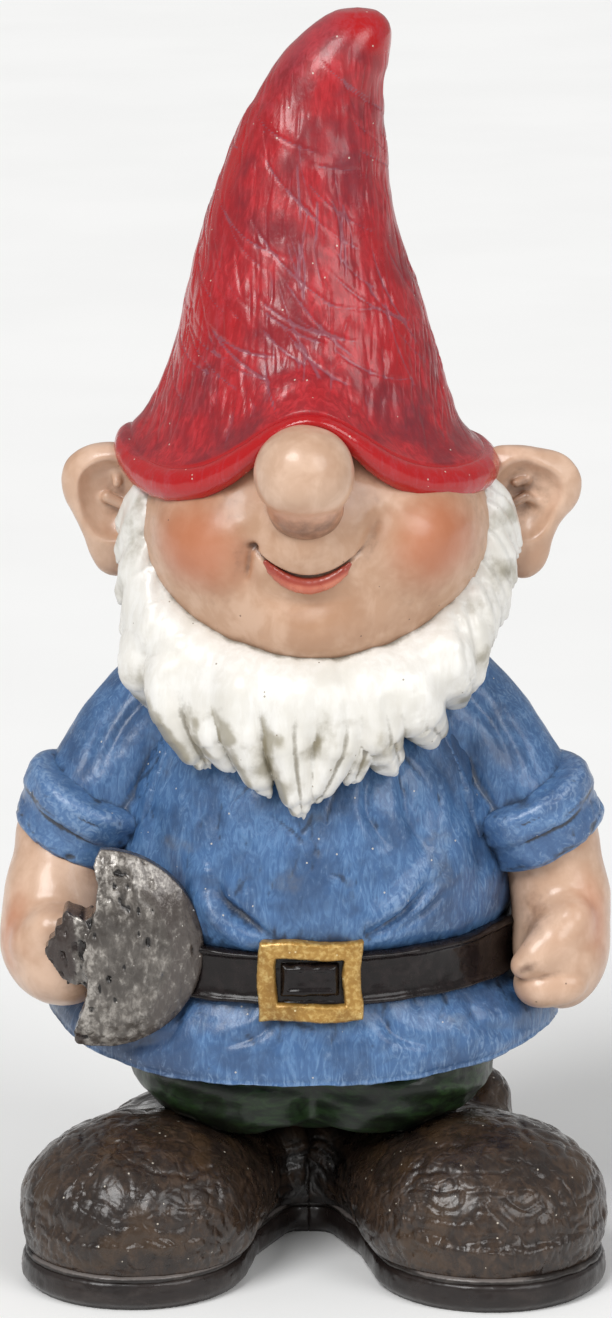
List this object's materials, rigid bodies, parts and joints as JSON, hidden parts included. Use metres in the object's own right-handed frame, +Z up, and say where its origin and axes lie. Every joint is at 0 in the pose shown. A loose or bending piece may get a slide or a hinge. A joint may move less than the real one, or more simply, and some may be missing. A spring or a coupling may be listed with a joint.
{
  "type": "garden gnome",
  "caption": "Standing garden gnome with a tall bent hat, ball nose, full beard, belted shirt, big boots and a crescent-bladed garden tool in one fist.",
  "frame": {"origin": "on the ground, under the centre of the whole figure's box", "axes": "+Z up from the soles to the hat's tip, -Y the way the gnome faces, +X to the gnome's own left"},
  "size_m": [0.1438, 0.117, 0.3],
  "materials": {
    "hat_paint": "gloss",
    "skin_paint": "satin",
    "lip_paint": "satin",
    "hair_paint": "satin",
    "shirt_paint": "satin",
    "belt_paint": "gloss",
    "buckle_gold": "satin",
    "trouser_paint": "satin",
    "boot_paint": "gloss",
    "welt_paint": "satin",
    "sole_paint": "satin",
    "tool_grey": "gloss",
    "handle_brown": "satin"
  },
  "bodies": {
    "root": {"hat": "hat_paint", "head": "skin_paint", "nose": "skin_paint", "lower_lip": "lip_paint", "right_ear": "skin_paint", "left_ear": "skin_paint", "beard": "hair_paint", "back_hair": "hair_paint", "shirt": "shirt_paint", "shirt_skirt": "shirt_paint", "right_sleeve": "shirt_paint", "left_sleeve": "shirt_paint", "right_cuff": "shirt_paint", "left_cuff": "shirt_paint", "right_forearm": "skin_paint", "left_forearm": "skin_paint", "right_hand": "skin_paint", "left_hand": "skin_paint", "belt": "belt_paint", "buckle_frame": "buckle_gold", "buckle_strap": "belt_paint", "trousers": "trouser_paint", "right_boot": "boot_paint", "left_boot": "boot_paint", "right_welt": "welt_paint", "left_welt": "welt_paint", "right_sole": "sole_paint", "left_sole": "sole_paint", "tool_blade": "tool_grey", "tool_socket": "tool_grey", "tool_handle": "handle_brown"}
  },
  "joints": []
}
